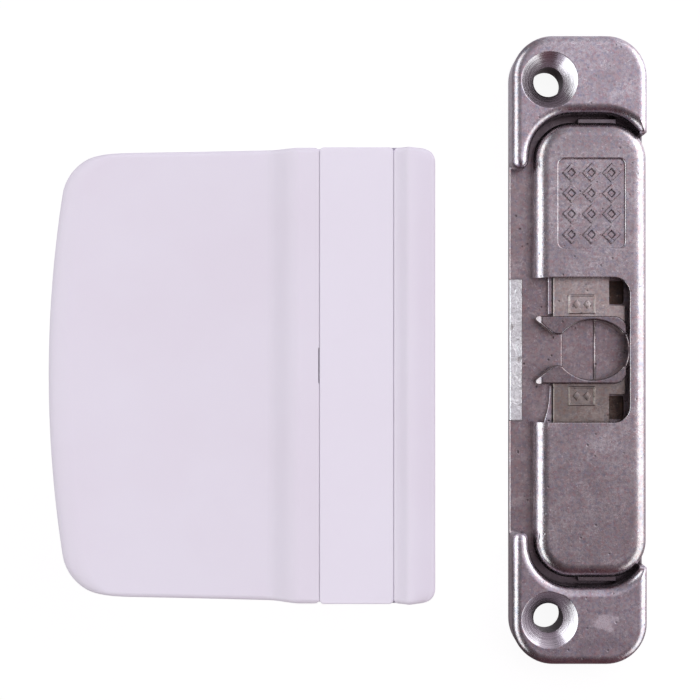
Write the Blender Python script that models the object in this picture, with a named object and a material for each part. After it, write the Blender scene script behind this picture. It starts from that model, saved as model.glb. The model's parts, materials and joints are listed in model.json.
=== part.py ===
"""Balcony door latch set: a die-cast frame catch with two sprung jaws, and a moulded pull handle.

Both pieces lie on their mounting faces, side by side. +Z points out of the mounting faces, +Y runs
along the length of both pieces, and X runs across them, from the handle to the catch. The origin is
at the middle of the whole set, on the plane of the mounting faces.

Sizes are in millimetres. point() turns them into metres as each mesh is made.
"""

import math

import bmesh
import bpy

MM = 0.001
GAP = 0.1  # between pieces that rest on each other
ACROSS = -20, 20  # a cutter's span that reaches past both of the catch's long sides

# ---------------------------------------------------------------- catch, about its own centre line
CATCH_X = 36.03
CATCH_LENGTH = 100.0
CATCH_WIDTH = 21.5
CATCH_TOP = 7.2
CATCH_CORNER = 6.5
FLOOR = 2.0
EDGE_ROUND = 1.1

SCREW_X, SCREW_Y = -4.85, 42.8
SCREW_HOLE_R, SCREW_HEAD_R = 2.35, 4.5

# The bay between the two end blocks, where the housing stands.
PRONG_INNER_X, PRONG_END_Y, PRONG_END_R = -8.05, 28.8, 1.2
BAY_END_Y, BAY_CORNER = 37.65, 7.0
HORN_Y = 34.4

HOUSING_LEFT, HOUSING_END, HOUSING_CORNER = -7.25, 36.3, 6.0
HOUSING_WALL, ROOF, HOUSING_ROUND = 1.2, 1.0, 2.4
WINDOW_RIGHT, WINDOW_HALF, WINDOW_CORNER = 7.87, 11.5, 2.6
TONGUE_X, TONGUE_END, TONGUE_TOP = (0.0, 6.2), 37.1, 4.2
PANEL_X, PANEL_Y, PANEL_CORNER, PANEL_DEPTH = (-3.45, 7.05), (16.2, 30.3), 0.9, 0.25

GROOVE_X, GROOVE_HALF, GROOVE_FLOOR = (-2.07, 2.93), 20.0, 1.3
STRIP_WIDTH, STRIP_HALF, STRIP_TOP, STRIP_SEAT = 2.1, 11.4, 2.8, 1.2

# The +Y jaw. Its hooked end stands above its flat tail, and its nose hangs clear of the floor.
JAW_TOP, SHELF_TOP, NOSE_BOTTOM = 6.0, 4.6, 3.7
JAW_OUTER_Y = 5.4
NOSE_OUTLINE = ((-6.45, 5.38), (-6.8, 5.1), (-6.75, 4.85), (-5.58, 3.72), (-3.87, 2.5), (-3.2, 2.45))
TAIL_X, TAIL_END, TAIL_HEAD_Y = (-3.95, 5.05), 15.5, 13.2
EAR_X, EAR_Y = -5.05, 14.0
SHOULDER_X, SHOULDER_Y = 7.55, 7.2
POCKET_X, POCKET_OFFSET, POCKET_R, POCKET_ARC = 2.2, 1.72, 6.5, (137.6, 40.4)
KEEL_Y = 6.0
HEEL_R = 2.0  # of the raised jaw's outer corner, above the shelf
JAW_TRAVEL = 2.8

SPRING_X = (-1.75, 2.85)
SPRING_Z = (FLOOR + CATCH_TOP - ROOF) / 2
SPRING_OUTER_R, SPRING_WIRE_R, SPRING_TURNS = 1.8, 0.3, 8
SPIGOT_R, SPIGOT_LENGTH = 0.8, 1.8
LUG_X, LUG_Y, LUG_TOP = (-3.9, 5.0), (31.0, 32.2), 6.0
PIN_R, PIN_HEAD_R, PIN_HEAD_LENGTH = 0.8, 1.7, 0.7
PIN_TIP_Y = TAIL_END + SPIGOT_LENGTH + JAW_TRAVEL + 0.2

# Ribs that the jaws and the springs run between, on the +Y side. The -Y jaw's rib flares out instead.
GUIDE_TOP = 3.4
JAW_RIB = (-4.65, -4.05), (5.7, 13.9)
SPRING_RIBS = ((-5.2, -4.05), (18.6, 27.6)), ((5.15, 6.2), (15.4, 30.2))
FLARED_RIB = (
    (-4.05, -5.7),
    (-4.35, -5.7),
    (-4.4, -7.0),
    (-4.5, -8.4),
    (-4.75, -9.75),
    (-5.15, -11.1),
    (-5.35, -12.1),
    (-5.35, -13.9),
    (-4.05, -13.9),
)
RELIEF_X, RELIEF_Y, RELIEF_FLOOR = (5.25, 7.75), (7.4, 11.2), 0.7
STOP_R, STOP_ANGLE, STOP_RIGHT, STOP_TOP = 6.3, 28, 9.4, 2.6  # the low step behind the pin's pocket

RIVETS = {  # x, y and boss radius
    "inner": (7.0, 13.2, 1.7),
    "outer_left": (-5.2, 29.5, 1.3),
    "outer_right": (8.2, 29.5, 1.3),
}
RIVET_R, RIVET_HEAD_R, RIVET_END = 0.6, 1.2, 5.0
RIVET_HEAD_LOW, RIVET_HEAD_HIGH = 0.05, 0.65

# ---------------------------------------------------------------- handle, about its screw line
HANDLE_X, HANDLE_Y = 0.49, -3.78
HANDLE_HALF = 33.7
BLOCK_TOP = 24.0
BLOCK_LEFT, BLOCK_RIGHT, BLOCK_CORNER = -9.5, 11.63, 2.2
WING_TIP, WING_EDGE_R, WING_CORNER = -47.27, 178.0, 7.2
WING_THICK, WING_EDGE_Z, WING_SLOPE, WING_CURVE = 3.0, 17.0, 0.10, 0.00105
ROLL_WIDTH, ROLL_DROP, ROLL_STEPS = 4.0, 2.4, (0.0, 0.3, 1.1, 2.4)
RAMP_START, RAMP_END = -13.3, -8.3
ROOT_FILLET = 4.0
REBATE_HALF, REBATE_Z = 5.5, 22.3
RAIL_CREST_X, RAIL_CREST_Z = 7.8, 25.3
RAIL_FOOT = REBATE_HALF + 1.1, BLOCK_TOP + 0.2
RAIL_SHOULDER = RAIL_CREST_X - 0.6, RAIL_CREST_Z - 0.2
RAIL_OUTSIDE_ROUND, RAIL_OUTSIDE_Z = 0.9, BLOCK_TOP + 0.1
CHANNEL_HALF_X, CHANNEL_HALF_Y, CHANNEL_FLOOR = 4.1, 29.5, 3.0
HANDLE_SCREW_Y, HANDLE_HOLE_R, HANDLE_HEAD_R = 21.0, 2.25, 3.9
NOTCH_Y, NOTCH_WIDTH, NOTCH_DEPTH = (-1.1, 4.1), 0.15, 1.0
# Moulding cores, open at the back: x span and height of each column, then the rows.
CORES = (BLOCK_LEFT + 1.5, -CHANNEL_HALF_X - 1.5, 16.0), (CHANNEL_HALF_X + 1.5, BLOCK_RIGHT - 1.6, 20.5)
CORE_ROWS, CORE_HALF = (-20.8, 0.0, 20.8), 9.6
COVER_HALF = REBATE_HALF - 0.08
CLIP_X, CLIP_HALF_LENGTH, CLIP_Y, CLIP_BOTTOM = (2.9, 3.9), 7.0, 16.0, 17.5


# ---------------------------------------------------------------- tools
def clear_scene():
    for obj in list(bpy.data.objects):
        bpy.data.objects.remove(obj)


def make_material(name, colour, roughness, metallic):
    material = bpy.data.materials.new(name)
    material.use_nodes = True
    shader = material.node_tree.nodes["Principled BSDF"]
    shader.inputs["Base Color"].default_value = (*colour, 1.0)
    shader.inputs["Roughness"].default_value = roughness
    shader.inputs["Metallic"].default_value = metallic
    return material


def make_frame(name, x, y, z=0.0, parent=None):
    """An empty that pieces are placed from; x, y and z are from its parent, in millimetres."""
    frame = bpy.data.objects.new(name, None)
    frame.location = (x * MM, y * MM, z * MM)
    frame.parent = parent
    bpy.context.scene.collection.objects.link(frame)
    return frame


def add_loft(bm, rings):
    """Skins a row of rings, which all have the same number of points, and caps both ends."""
    loops = [[bm.verts.new((x * MM, y * MM, z * MM)) for x, y, z in ring] for ring in rings]
    faces = [bm.faces.new(loops[0]), bm.faces.new(loops[-1])]
    for low, high in zip(loops, loops[1:]):
        for i in range(len(low)):
            j = (i + 1) % len(low)
            faces.append(bm.faces.new((low[i], low[j], high[j], high[i])))
    return faces


def finish(name, bm, frame, material):
    bmesh.ops.recalc_face_normals(bm, faces=bm.faces)
    mesh = bpy.data.meshes.new(name)
    bm.to_mesh(mesh)
    bm.free()
    mesh.shade_smooth()
    mesh.set_sharp_from_angle(angle=math.radians(35))
    obj = bpy.data.objects.new(name, mesh)
    obj.parent = frame
    if material:
        mesh.materials.append(material)
    else:  # a shape that only cuts or joins
        obj.hide_render = True
        obj.display_type = "WIRE"
    bpy.context.scene.collection.objects.link(obj)
    return obj


def lofted(name, ring_sets, frame, material=None):
    """One object from one or more separate lofts."""
    bm = bmesh.new()
    for rings in ring_sets:
        add_loft(bm, rings)
    return finish(name, bm, frame, material)


def prism_rings(outline, low, high):
    return [[(x, y, z) for x, y in outline] for z in (low, high)]


def prism(name, outline, low, high, frame, material=None, top_round=0.0, steps=3):
    """An outline in X and Y, drawn up from low to high, with its upper edge rounded."""
    bm = bmesh.new()
    faces = add_loft(bm, prism_rings(outline, low, high))
    if top_round:
        edges = list(faces[1].edges)
        bmesh.ops.bevel(
            bm,
            geom=edges,
            offset=top_round * MM,
            segments=steps,
            profile=0.5,
            affect="EDGES",
        )
    return finish(name, bm, frame, material)


def box_rings(x, y, z):
    return prism_rings([(x[0], y[0]), (x[1], y[0]), (x[1], y[1]), (x[0], y[1])], *z)


def mirrored(y, side):
    """A span of y on the +Y side, or its mirror image, lowest first."""
    return tuple(sorted((side * y[0], side * y[1])))


def turned_rings(profile, centre, sides, along_y=0):
    """Circles for a turned piece. profile lists (radius, height). along_y is +1 or -1 for an axis on Y."""
    rings = []
    for radius, height in profile:
        ring = []
        for i in range(sides):
            a = math.tau * i / sides
            c, s = radius * math.cos(a), radius * math.sin(a)
            if along_y:
                ring.append((centre[0] + c, along_y * height, centre[1] + s))
            else:
                ring.append((centre[0] + c, centre[1] + s, height))
        rings.append(ring)
    return rings


def arc(centre, radius, start, end, steps):
    """Points on an arc, with its angles in degrees, both ends included."""
    points = []
    for i in range(steps + 1):
        a = math.radians(start + (end - start) * i / steps)
        points.append((centre[0] + radius * math.cos(a), centre[1] + radius * math.sin(a)))
    return points


def rounded_rectangle(x, y, radius, steps=6):
    corners = ((x[1], y[1], 0), (x[0], y[1], 90), (x[0], y[0], 180), (x[1], y[0], 270))
    points = []
    for cx, cy, start in corners:
        inward_x = -radius if cx == x[1] else radius
        inward_y = -radius if cy == y[1] else radius
        points += arc((cx + inward_x, cy + inward_y), radius, start, start + 90, steps)
    return points


def boolean(target, tool, operation):
    modifier = target.modifiers.new(tool.name, "BOOLEAN")
    modifier.object = tool
    modifier.operation = operation
    modifier.solver = "EXACT"


def cut(target, tool):
    boolean(target, tool, "DIFFERENCE")


def join(target, tool):
    boolean(target, tool, "UNION")


# ---------------------------------------------------------------- catch: base casting
def bay_outline():
    """The space above the floor between the end blocks, run past the casting's two long sides."""
    shift = BAY_END_Y - BAY_CORNER
    left = (PRONG_INNER_X + BAY_CORNER, shift)
    right = (CATCH_WIDTH / 2 - BAY_CORNER, shift)
    horn = math.degrees(math.asin((HORN_Y - shift) / BAY_CORNER))
    half = [(ACROSS[1], HORN_Y)]
    half += arc(right, BAY_CORNER, horn, 90, 6)
    half += arc(left, BAY_CORNER, 90, 180, 9)
    half += arc((PRONG_INNER_X - PRONG_END_R, PRONG_END_Y + PRONG_END_R), PRONG_END_R, 0, -90, 3)
    half += [(ACROSS[0], PRONG_END_Y)]
    return half + [(x, -y) for x, y in reversed(half)]


def screw_cutter(name, positions, hole_r, head_r, top, frame):
    """Countersunk holes through a plate from below 0 to its top."""
    depth = head_r - hole_r
    profile = ((hole_r, -1), (hole_r, top - depth), (head_r, top), (head_r, top + 3))
    return lofted(name, [turned_rings(profile, p, 24) for p in positions], frame)


def make_base(frame, zinc):
    half_x, half_y = CATCH_WIDTH / 2, CATCH_LENGTH / 2
    outline = rounded_rectangle((-half_x, half_x), (-half_y, half_y), CATCH_CORNER, 8)
    base = prism("base_frame", outline, 0, CATCH_TOP, frame, zinc, top_round=EDGE_ROUND)
    cut(base, prism("bay_cutter", bay_outline(), FLOOR, CATCH_TOP + 3, frame))

    root = FLOOR - 0.5
    ribs = [box_rings(*JAW_RIB, (root, GUIDE_TOP)), prism_rings(FLARED_RIB, root, GUIDE_TOP)]
    for side in (1, -1):
        ribs += [box_rings(x, mirrored(y, side), (root, GUIDE_TOP)) for x, y in SPRING_RIBS]
        ribs.append(box_rings(LUG_X, mirrored(LUG_Y, side), (root, LUG_TOP)))
    stop = arc((POCKET_X, 0), STOP_R, -STOP_ANGLE, STOP_ANGLE, 8)
    stop += [(STOP_RIGHT, stop[-1][1]), (STOP_RIGHT, stop[0][1])]
    ribs.append(prism_rings(stop, root, STOP_TOP))
    join(base, lofted("guide_ribs", ribs, frame))
    reliefs = [
        box_rings(RELIEF_X, mirrored(RELIEF_Y, side), (RELIEF_FLOOR, FLOOR + 0.2)) for side in (1, -1)
    ]
    cut(base, lofted("relief_cutter", reliefs, frame))

    screws = [(SCREW_X, SCREW_Y), (SCREW_X, -SCREW_Y)]
    cut(base, screw_cutter("screw_cutter", screws, SCREW_HOLE_R, SCREW_HEAD_R, CATCH_TOP, frame))
    groove = box_rings(GROOVE_X, (-GROOVE_HALF, GROOVE_HALF), (GROOVE_FLOOR, FLOOR + 0.4))
    cut(base, lofted("groove_cutter", [groove], frame))
    seat_half = STRIP_HALF + GAP
    seat_x = (ACROSS[0], -half_x + STRIP_WIDTH)
    seat = box_rings(seat_x, (-seat_half, seat_half), (STRIP_SEAT, STRIP_TOP + 1))
    cut(base, lofted("strip_seat_cutter", [seat], frame))

    holes = []
    hole_r = RIVET_R + 0.15
    rivet_hole = ((RIVET_HEAD_R + 0.25, -0.1), (hole_r, RIVET_HEAD_HIGH), (hole_r, FLOOR + 0.5))
    for x, y, _ in RIVETS.values():
        holes += [turned_rings(rivet_hole, (x, side * y), 12) for side in (1, -1)]
    cut(base, lofted("rivet_hole_cutter", holes, frame))
    pin_hole = ((PIN_R + GAP, LUG_Y[0] - 1), (PIN_R + GAP, LUG_Y[1] + 1))
    bores = [
        turned_rings(pin_hole, (x, SPRING_Z), 12, along_y=side) for x in SPRING_X for side in (1, -1)
    ]
    cut(base, lofted("pin_hole_cutter", bores, frame))
    return base


def make_entry_strip(frame, raw_zinc):
    left = -CATCH_WIDTH / 2
    outline = [
        (left, -STRIP_HALF),
        (left + STRIP_WIDTH - GAP, -STRIP_HALF),
        (left + STRIP_WIDTH - GAP, STRIP_HALF),
        (left, STRIP_HALF),
    ]
    low = STRIP_SEAT + GAP
    return prism("entry_strip", outline, low, STRIP_TOP, frame, raw_zinc, top_round=0.2, steps=1)


# ---------------------------------------------------------------- catch: housing
def make_housing(frame, zinc):
    right, low = CATCH_WIDTH / 2, FLOOR + GAP
    ends = (-HOUSING_END, HOUSING_END)
    outline = rounded_rectangle((HOUSING_LEFT, right), ends, HOUSING_CORNER, 8)
    housing = prism(
        "housing_cover", outline, low, CATCH_TOP, frame, zinc, top_round=HOUSING_ROUND, steps=4
    )

    wall = HOUSING_WALL
    hollow = rounded_rectangle(
        (HOUSING_LEFT + wall, right - wall),
        (ends[0] + wall, ends[1] - wall),
        HOUSING_CORNER - wall,
        8,
    )
    cut(housing, prism("hollow_cutter", hollow, 0, CATCH_TOP - ROOF, frame))

    additions = []
    for side in (1, -1):
        for x, y, boss_r in RIVETS.values():
            boss = ((boss_r, low), (boss_r, CATCH_TOP - ROOF / 2))
            additions.append(turned_rings(boss, (x, side * y), 16))
        tongue_y = mirrored((HOUSING_END - wall / 2, TONGUE_END), side)
        additions.append(box_rings(TONGUE_X, tongue_y, (low, TONGUE_TOP)))
    join(housing, lofted("bosses_and_tongues", additions, frame))

    bores = []
    for x, y, _ in RIVETS.values():
        profile = ((RIVET_R + GAP, 0), (RIVET_R + GAP, RIVET_END + 0.2))
        bores += [turned_rings(profile, (x, side * y), 12) for side in (1, -1)]
    cut(housing, lofted("rivet_bore_cutter", bores, frame))

    window = rounded_rectangle(
        (ACROSS[0], WINDOW_RIGHT), (-WINDOW_HALF, WINDOW_HALF), WINDOW_CORNER
    )
    cut(housing, prism("window_cutter", window, 0, CATCH_TOP + 2, frame))
    panel = rounded_rectangle(PANEL_X, PANEL_Y, PANEL_CORNER, 4)
    cut(housing, prism("panel_cutter", panel, CATCH_TOP - PANEL_DEPTH, CATCH_TOP + 1, frame))
    return housing


def make_rivet(name, x, y, frame, steel):
    profile = ((RIVET_HEAD_R, RIVET_HEAD_LOW), (RIVET_R, RIVET_HEAD_HIGH), (RIVET_R, RIVET_END))
    return lofted(name, [turned_rings(profile, (x, y), 12)], frame, steel)


# ---------------------------------------------------------------- catch: jaws, springs, pins
def jaw_outline(side):
    """The +Y jaw seen from above, or its mirror image: nose, throat, pocket, shoulder and tail."""
    pocket = arc((POCKET_X, -POCKET_OFFSET), POCKET_R, *POCKET_ARC, 12)
    points = [
        *NOSE_OUTLINE,
        *pocket,
        (SHOULDER_X, pocket[-1][1]),
        (SHOULDER_X, SHOULDER_Y),
        (TAIL_X[1], SHOULDER_Y),
        (TAIL_X[1], TAIL_END),
        (EAR_X, TAIL_END),
        (EAR_X, EAR_Y),
        (TAIL_X[0], EAR_Y),
        (TAIL_X[0], JAW_OUTER_Y - 0.02),
    ]
    return [(x, side * y) for x, y in points]


def make_jaw(name, side, frame, zinc):
    low = FLOOR + GAP
    jaw = prism(name, jaw_outline(side), low, JAW_TOP, frame, zinc)
    shelf = box_rings(ACROSS, mirrored((JAW_OUTER_Y, TAIL_HEAD_Y), side), (SHELF_TOP, JAW_TOP + 1))
    nose_x = (ACROSS[0], TAIL_X[0] - 0.02)
    under_nose = box_rings(nose_x, mirrored((0, JAW_OUTER_Y + 3), side), (0, NOSE_BOTTOM))
    cut(jaw, lofted(name + "_shelf_cutter", [shelf], frame))
    cut(jaw, lofted(name + "_nose_cutter", [under_nose], frame))
    heel = arc((SHOULDER_X - HEEL_R, JAW_OUTER_Y - HEEL_R), HEEL_R, 90, 0, 5)
    heel += [(SHOULDER_X + 1, JAW_OUTER_Y - HEEL_R), (SHOULDER_X + 1, JAW_OUTER_Y + 0.1)]
    heel += [(SHOULDER_X - HEEL_R, JAW_OUTER_Y + 0.1)]
    heel = [(x, side * y) for x, y in heel]
    cut(jaw, prism(name + "_heel_cutter", heel, SHELF_TOP, JAW_TOP + 1, frame))

    keel_x = (GROOVE_X[0] + GAP, GROOVE_X[1] - GAP)
    keel_y = mirrored((KEEL_Y, TAIL_END - 0.5), side)
    keel = box_rings(keel_x, keel_y, (GROOVE_FLOOR + GAP, low + 0.3))
    spigot = ((SPIGOT_R, TAIL_END - 0.5), (SPIGOT_R, TAIL_END + SPIGOT_LENGTH))
    spigots = [turned_rings(spigot, (x, SPRING_Z), 12, along_y=side) for x in SPRING_X]
    join(jaw, lofted(name + "_keel", [keel], frame))
    join(jaw, lofted(name + "_spigots", spigots, frame))
    return jaw


def make_guide_pin(name, x, side, frame, steel):
    head_start = LUG_Y[0] - GAP - PIN_HEAD_LENGTH
    profile = (
        (PIN_R, PIN_TIP_Y),
        (PIN_R, head_start),
        (PIN_HEAD_R, head_start + 0.01),
        (PIN_HEAD_R, LUG_Y[0] - GAP),
        (PIN_R, LUG_Y[0] - GAP + 0.01),
        (PIN_R, LUG_Y[1]),
    )
    return lofted(name, [turned_rings(profile, (x, SPRING_Z), 12, along_y=side)], frame, steel)


def make_spring(name, x, side, frame, steel):
    """A compression spring from the jaw's tail to the head of its guide pin."""
    start = TAIL_END + GAP + SPRING_WIRE_R
    end = LUG_Y[0] - 2 * GAP - PIN_HEAD_LENGTH - SPRING_WIRE_R
    coil_r = SPRING_OUTER_R - SPRING_WIRE_R
    steps_per_turn = 10
    count = SPRING_TURNS * steps_per_turn
    curve = bpy.data.curves.new(name, "CURVE")
    curve.dimensions = "3D"
    curve.bevel_depth = SPRING_WIRE_R * MM
    curve.bevel_resolution = 1
    curve.use_fill_caps = True
    spline = curve.splines.new("POLY")
    spline.points.add(count)
    for i, p in enumerate(spline.points):
        a = math.tau * i / steps_per_turn
        y = side * (start + (end - start) * i / count)
        px, pz = x + coil_r * math.cos(a), SPRING_Z + coil_r * math.sin(a)
        p.co = (px * MM, y * MM, pz * MM, 1)
    curve.materials.append(steel)
    obj = bpy.data.objects.new(name, curve)
    obj.parent = frame
    bpy.context.scene.collection.objects.link(obj)
    return obj


# ---------------------------------------------------------------- handle
def wing_outline_x(y):
    """Where the wing's free edge lies at a height y: a shallow bow with round corners."""
    bow_x = WING_TIP + WING_EDGE_R
    corner_y = HANDLE_HALF - WING_CORNER
    corner_x = bow_x - math.sqrt((WING_EDGE_R - WING_CORNER) ** 2 - corner_y**2)
    blend_y = corner_y * WING_EDGE_R / (WING_EDGE_R - WING_CORNER)
    if abs(y) < blend_y:
        return bow_x - math.sqrt(WING_EDGE_R**2 - y * y)
    return corner_x - math.sqrt(max(0.0, WING_CORNER**2 - (abs(y) - corner_y) ** 2))


def block_right_x(y):
    """The block's outer side at a height y, which turns in at both ends."""
    past = max(0.0, abs(y) - (HANDLE_HALF - BLOCK_CORNER))
    return BLOCK_RIGHT - BLOCK_CORNER + math.sqrt(max(0.0, BLOCK_CORNER**2 - past**2))


def wing_height(x):
    """The wing's upper face, a hollow curve that climbs towards the block."""
    t = x - (WING_TIP + ROLL_WIDTH)
    return WING_EDGE_Z + WING_SLOPE * t + WING_CURVE * t * t


def smooth(t):
    t = min(1.0, max(0.0, t))
    return t * t * (3 - 2 * t)


def handle_ring(y):
    """The handle's closed outline in X and Z at a height y, with the same number of points at each y."""
    tip, right = wing_outline_x(y), block_right_x(y)
    ring = []
    for d in ROLL_STEPS:  # the rolled free edge
        drop = ROLL_DROP * (1 - math.sqrt(1 - (1 - d / ROLL_WIDTH) ** 2))
        ring.append((tip + d, wing_height(tip + d) - drop))
    for i in range(7):
        x = tip + ROLL_WIDTH + (RAMP_START - tip - ROLL_WIDTH) * i / 6
        ring.append((x, wing_height(x)))
    for i in range(1, 7):  # the ramp up to the block
        x = RAMP_START + (RAMP_END - RAMP_START) * i / 6
        base = wing_height(x)
        ring.append((x, base + smooth(i / 6) * (BLOCK_TOP - base)))
    ring += [
        (-REBATE_HALF, BLOCK_TOP),
        (-REBATE_HALF, REBATE_Z),
        (REBATE_HALF, REBATE_Z),
        (REBATE_HALF, BLOCK_TOP),
        RAIL_FOOT,
        RAIL_SHOULDER,
        (RAIL_CREST_X, RAIL_CREST_Z),
        (right - RAIL_OUTSIDE_ROUND, RAIL_OUTSIDE_Z),
        (right, RAIL_OUTSIDE_Z - 1.1),
        (right, 0),
        (BLOCK_LEFT, 0),
    ]
    fillet_x = BLOCK_LEFT - ROOT_FILLET
    for i in range(6):  # the fillet under the wing's root
        x = BLOCK_LEFT - ROOT_FILLET * (i / 5) ** 1.6
        drop = ROOT_FILLET - math.sqrt(max(0.0, ROOT_FILLET**2 - (x - fillet_x) ** 2))
        ring.append((x, wing_height(x) - WING_THICK - drop))
    for i in range(1, 6):
        x = fillet_x + (tip + ROLL_WIDTH - fillet_x) * i / 5
        ring.append((x, wing_height(x) - WING_THICK))
    ring.append((tip + 0.7, wing_height(tip) - WING_THICK - 0.9))
    ring.append((tip, wing_height(tip) - WING_THICK - 0.4))
    return [(x, y, z) for x, z in ring]


def make_handle(frame, plastic):
    stations = [0.0, 0.45, 0.7, 0.82, 0.88, 0.93, 0.965, 0.99, 1.0]
    levels = [-HANDLE_HALF * s for s in reversed(stations)] + [HANDLE_HALF * s for s in stations[1:]]
    handle = lofted("handle_body", [[handle_ring(y) for y in levels]], frame, plastic)

    channel = box_rings(
        (-CHANNEL_HALF_X, CHANNEL_HALF_X),
        (-CHANNEL_HALF_Y, CHANNEL_HALF_Y),
        (CHANNEL_FLOOR, RAIL_CREST_Z + 1),
    )
    cut(handle, lofted("channel_cutter", [channel], frame))

    cores = []
    for left, right, top in CORES:
        for row in CORE_ROWS:
            cores.append(box_rings((left, right), (row - CORE_HALF, row + CORE_HALF), (-1, top)))
    cut(handle, lofted("core_cutter", cores, frame))

    screws = [(0, HANDLE_SCREW_Y), (0, -HANDLE_SCREW_Y)]
    sizes = HANDLE_HOLE_R, HANDLE_HEAD_R, CHANNEL_FLOOR
    cut(handle, screw_cutter("handle_screw_cutter", screws, *sizes, frame))
    notch_x = (-REBATE_HALF - NOTCH_WIDTH, -REBATE_HALF + 0.3)
    notch = box_rings(notch_x, NOTCH_Y, (BLOCK_TOP - NOTCH_DEPTH, BLOCK_TOP + 1))
    cut(handle, lofted("notch_cutter", [notch], frame))
    return handle


def make_screw_cover(frame, plastic):
    low = REBATE_Z + GAP
    outline = rounded_rectangle((-COVER_HALF, COVER_HALF), (-HANDLE_HALF, HANDLE_HALF), 0.6, 2)
    cover = prism("screw_cover", outline, low, BLOCK_TOP, frame, plastic, top_round=0.4, steps=2)
    clips = []
    for side_x in (1, -1):
        for y in (CLIP_Y, -CLIP_Y):
            span = (y - CLIP_HALF_LENGTH, y + CLIP_HALF_LENGTH)
            clips.append(box_rings(mirrored(CLIP_X, side_x), span, (CLIP_BOTTOM, low + 0.5)))
    join(cover, lofted("cover_clips", clips, frame))
    return cover


# ---------------------------------------------------------------- the whole set
def build():
    clear_scene()
    zinc = make_material("nickelled_zinc", (0.55, 0.52, 0.55), 0.35, 1.0)
    jaw_zinc = make_material("jaw_zinc", (0.50, 0.46, 0.43), 0.4, 1.0)
    raw_zinc = make_material("raw_zinc", (0.72, 0.72, 0.74), 0.5, 1.0)
    steel = make_material("spring_steel", (0.6, 0.6, 0.62), 0.3, 1.0)
    plastic = make_material("white_plastic", (0.86, 0.84, 0.88), 0.4, 0.0)

    catch = make_frame("catch_frame", CATCH_X, 0)
    make_base(catch, zinc)
    make_entry_strip(catch, raw_zinc)
    make_housing(catch, zinc)
    for word, side in (("upper", 1), ("lower", -1)):
        slide = make_frame(word + "_jaw_slide", 0, 0, parent=catch)
        make_jaw(word + "_jaw", side, slide, jaw_zinc)
        for place, (x, y, _) in RIVETS.items():
            make_rivet(f"{word}_{place}_rivet", x, side * y, catch, steel)
        for hand, x in zip(("left", "right"), SPRING_X):
            make_guide_pin(f"{word}_{hand}_guide_pin", x, side, catch, steel)
            make_spring(f"{word}_{hand}_spring", x, side, catch, steel)

    handle = make_frame("handle_frame", HANDLE_X, HANDLE_Y)
    make_handle(handle, plastic)
    cover = make_frame("screw_cover_slide", 0, 0, parent=handle)
    make_screw_cover(cover, plastic)


build()
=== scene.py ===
import json
import math

import bmesh
import bpy
import numpy as np
from mathutils import Matrix, Vector


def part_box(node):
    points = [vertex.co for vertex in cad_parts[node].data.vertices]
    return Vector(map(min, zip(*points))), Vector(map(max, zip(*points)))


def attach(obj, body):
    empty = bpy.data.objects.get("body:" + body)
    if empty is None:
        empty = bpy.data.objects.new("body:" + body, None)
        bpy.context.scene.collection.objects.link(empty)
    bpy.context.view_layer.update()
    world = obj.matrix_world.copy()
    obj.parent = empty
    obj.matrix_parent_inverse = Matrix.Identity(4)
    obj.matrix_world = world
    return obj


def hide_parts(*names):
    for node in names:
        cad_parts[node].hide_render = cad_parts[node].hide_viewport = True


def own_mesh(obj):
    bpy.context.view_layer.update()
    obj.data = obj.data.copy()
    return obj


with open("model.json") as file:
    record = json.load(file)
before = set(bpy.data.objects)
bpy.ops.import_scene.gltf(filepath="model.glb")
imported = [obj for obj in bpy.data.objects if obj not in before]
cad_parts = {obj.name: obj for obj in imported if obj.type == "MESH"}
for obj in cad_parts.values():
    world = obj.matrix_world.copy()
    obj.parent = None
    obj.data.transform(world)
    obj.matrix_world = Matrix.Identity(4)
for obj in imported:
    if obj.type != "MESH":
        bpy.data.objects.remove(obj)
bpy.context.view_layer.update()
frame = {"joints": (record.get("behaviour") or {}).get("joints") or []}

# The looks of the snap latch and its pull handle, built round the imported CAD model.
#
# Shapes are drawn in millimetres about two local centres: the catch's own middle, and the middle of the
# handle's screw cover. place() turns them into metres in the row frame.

MM = 0.001
SHARP_ANGLE = 32


def cad_box(node):
    """A CAD node's box in millimetres."""
    low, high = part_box(node)
    return low / MM, high / MM


# ---- sizes read from the frame
BASE_LOW, BASE_HIGH = cad_box("base_frame")
STRIP_LOW, STRIP_HIGH = cad_box("entry_strip")
COVER_LOW, COVER_HIGH = cad_box("screw_cover")
HANDLE_LOW, HANDLE_HIGH = cad_box("handle_body")
HOUSING_BOTTOM = cad_box("housing_cover")[0].z
JAW_TOP = cad_box("upper_jaw")[1].z

CATCH_CENTRE = (BASE_LOW + BASE_HIGH) / 2
CATCH_HALF_X, CATCH_HALF_Y = (BASE_HIGH.x - BASE_LOW.x) / 2, (BASE_HIGH.y - BASE_LOW.y) / 2
CATCH_TOP = BASE_HIGH.z
COVER_CENTRE = (COVER_LOW + COVER_HIGH) / 2
HANDLE_HALF = (HANDLE_HIGH.y - HANDLE_LOW.y) / 2
WING_TIP = HANDLE_LOW.x - COVER_CENTRE.x
BLOCK_RIGHT = HANDLE_HIGH.x - COVER_CENTRE.x
BLOCK_TOP = COVER_HIGH.z
JAW_TRAVEL = next(j for j in frame["joints"] if j["name"] == "upper_jaw_slide")["range_m"][1] / MM

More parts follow.
